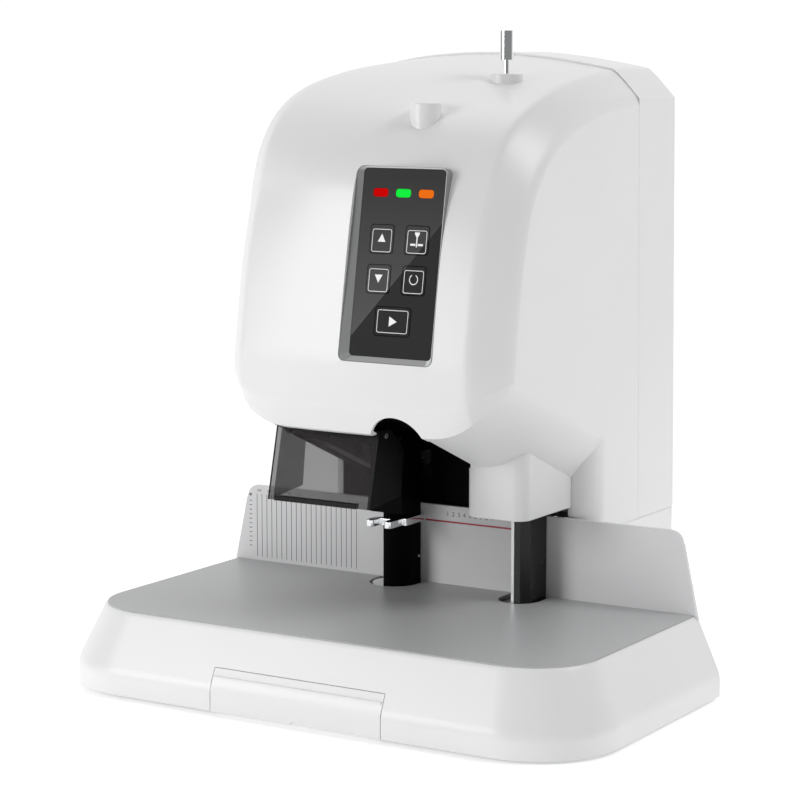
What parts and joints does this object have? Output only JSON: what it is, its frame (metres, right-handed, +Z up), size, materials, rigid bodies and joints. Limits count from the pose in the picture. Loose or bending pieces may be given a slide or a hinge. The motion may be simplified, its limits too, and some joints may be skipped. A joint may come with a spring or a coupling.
{
  "type": "document riveting machine",
  "caption": "Desk machine that drills a paper bundle with a hollow drill and rivets a nylon tube through it; white moulded head on a grey table, key panel, smoked shield and chip drawer.",
  "frame": {"origin": "centre of the footprint, on the surface the machine stands on", "axes": "+Z up; -Y towards the operator, out of the front; +X to the operator's right; the documents go in along +Y"},
  "size_m": [0.4, 0.33, 0.434],
  "materials": {
    "white_cover": "satin",
    "table_grey": "satin",
    "gauge_plate": "satin",
    "black_plastic": "matt",
    "black_metal": "satin",
    "smoked": "clear",
    "panel_glass": "gloss",
    "key_film": "gloss",
    "bezel_silver": "satin",
    "lamp_red": "lit",
    "lamp_green": "lit",
    "lamp_orange": "lit",
    "board_green": "matt",
    "steel": "brushed",
    "chrome": "polished",
    "alloy": "machined",
    "brass": "machined",
    "rubber": "matt",
    "motor_dark": "satin",
    "pad_white": "matt"
  },
  "bodies": {
    "base": {"base_shell": "white_cover", "pedestal": "white_cover", "table_plate": "table_grey", "bottom_plate": "steel", "rubber_feet": "rubber", "back_gauge": "gauge_plate", "head_cover": "white_cover", "rear_cover": "white_cover", "press_hood": "white_cover", "throat_liner": "black_plastic", "front_spout": "white_cover", "needle_spout": "white_cover", "panel_bezel": "bezel_silver", "panel_overlay": "panel_glass", "led_red": "lamp_red", "led_green": "lamp_green", "led_orange": "lamp_orange", "keypad_board": "board_green", "frame_uprights": "steel", "rod_shelf": "steel", "top_plate": "steel", "drill_guide_rods": "chrome", "press_guide_rods": "chrome", "lift_motors": "motor_dark", "lower_die": "brass", "press_seat": "black_metal", "drill_seat": "black_metal", "drill_pad": "pad_white", "shield_pins": "chrome", "control_board": "board_green", "power_supply": "steel", "power_inlet": "black_plastic", "cover_screws": "steel"},
    "drill_head": {"drill_guard": "black_metal", "guard_fork": "chrome", "drill_nose": "black_metal", "drill_carriage": "alloy", "quill_rods": "chrome"},
    "quill": {"quill_plate": "alloy", "drill_motor": "motor_dark"},
    "spindle_set": {"spindle": "steel", "spindle_pulley": "alloy", "hollow_drill": "chrome"},
    "motor_shaft": {"motor_pulley": "alloy"},
    "drill_screw": {"drill_lift_screw": "steel"},
    "press_screw": {"press_lift_screw": "steel"},
    "press_head": {"press_guard": "black_metal", "press_carriage": "alloy", "press_rod": "chrome", "upper_heater": "brass"},
    "shield_set": {"shield": "smoked", "shield_grip": "black_plastic"},
    "drawer": {"chip_drawer": "white_cover"},
    "up_key": {"key_up": "key_film"},
    "rivet_key": {"key_rivet": "key_film"},
    "down_key": {"key_down": "key_film"},
    "reset_key": {"key_reset": "key_film"},
    "start_key": {"key_start": "key_film"},
    "needle": {"cleaning_needle": "chrome"},
    "mains_switch": {"power_switch": "black_plastic"}
  },
  "joints": [
    {"name": "drill_lift", "type": "slide", "parent": "base", "child": "drill_head", "axis": [0, 0, 1], "range_m": [0, 0.056]},
    {"name": "drill_feed", "type": "slide", "parent": "drill_head", "child": "quill", "axis": [0, 0, -1], "range_m": [0, 0.052]},
    {"name": "spindle_spin", "type": "hinge", "parent": "quill", "child": "spindle_set", "pos_m": [-0.041, 0.024, 0.2], "axis": [0, 0, 1], "continuous": true},
    {"name": "motor_spin", "type": "hinge", "parent": "quill", "child": "motor_shaft", "pos_m": [-0.041, -0.026, 0.24], "axis": [0, 0, 1], "continuous": true},
    {"name": "drill_screw_turn", "type": "hinge", "parent": "base", "child": "drill_screw", "pos_m": [-0.041, 0.086, 0.2], "axis": [0, 0, 1], "range_deg": [-10, 2530]},
    {"name": "press_lift", "type": "slide", "parent": "base", "child": "press_head", "axis": [0, 0, 1], "range_m": [0, 0.056]},
    {"name": "press_screw_turn", "type": "hinge", "parent": "base", "child": "press_screw", "pos_m": [0.061, 0.086, 0.2], "axis": [0, 0, 1], "range_deg": [-10, 2530]},
    {"name": "shield_swing", "type": "hinge", "parent": "base", "child": "shield_set", "pos_m": [-0.029, -0.07, 0.174], "axis": [-1, 0, 0], "range_deg": [0, 45]},
    {"name": "drawer_slide", "type": "slide", "parent": "base", "child": "drawer", "axis": [0, -1, 0], "range_m": [0, 0.1]},
    {"name": "up_key_press", "type": "slide", "parent": "base", "child": "up_key", "axis": [0, 0.9866, -0.1633], "range_m": [0, 0.0005], "stiffness_N_per_m": 400},
    {"name": "rivet_key_press", "type": "slide", "parent": "base", "child": "rivet_key", "axis": [0, 0.9866, -0.1633], "range_m": [0, 0.0005], "stiffness_N_per_m": 400},
    {"name": "down_key_press", "type": "slide", "parent": "base", "child": "down_key", "axis": [0, 0.9866, -0.1633], "range_m": [0, 0.0005], "stiffness_N_per_m": 400},
    {"name": "reset_key_press", "type": "slide", "parent": "base", "child": "reset_key", "axis": [0, 0.9866, -0.1633], "range_m": [0, 0.0005], "stiffness_N_per_m": 400},
    {"name": "start_key_press", "type": "slide", "parent": "base", "child": "start_key", "axis": [0, 0.9866, -0.1633], "range_m": [0, 0.0005], "stiffness_N_per_m": 400},
    {"name": "needle_lift", "type": "slide", "parent": "base", "child": "needle", "axis": [0, 0, 1], "range_m": [0, 0.11]},
    {"name": "mains_rocker", "type": "hinge", "parent": "base", "child": "mains_switch", "pos_m": [-0.03, 0.159, 0.034], "axis": [1, 0, 0], "range_deg": [-8, 8]}
  ],
  "couplings": [
    {"joint": "motor_spin", "follows": "spindle_spin", "ratio": 1.6316},
    {"joint": "drill_screw_turn", "follows": "drill_lift", "rad_per_m": 785.4},
    {"joint": "press_screw_turn", "follows": "press_lift", "rad_per_m": 785.4}
  ]
}
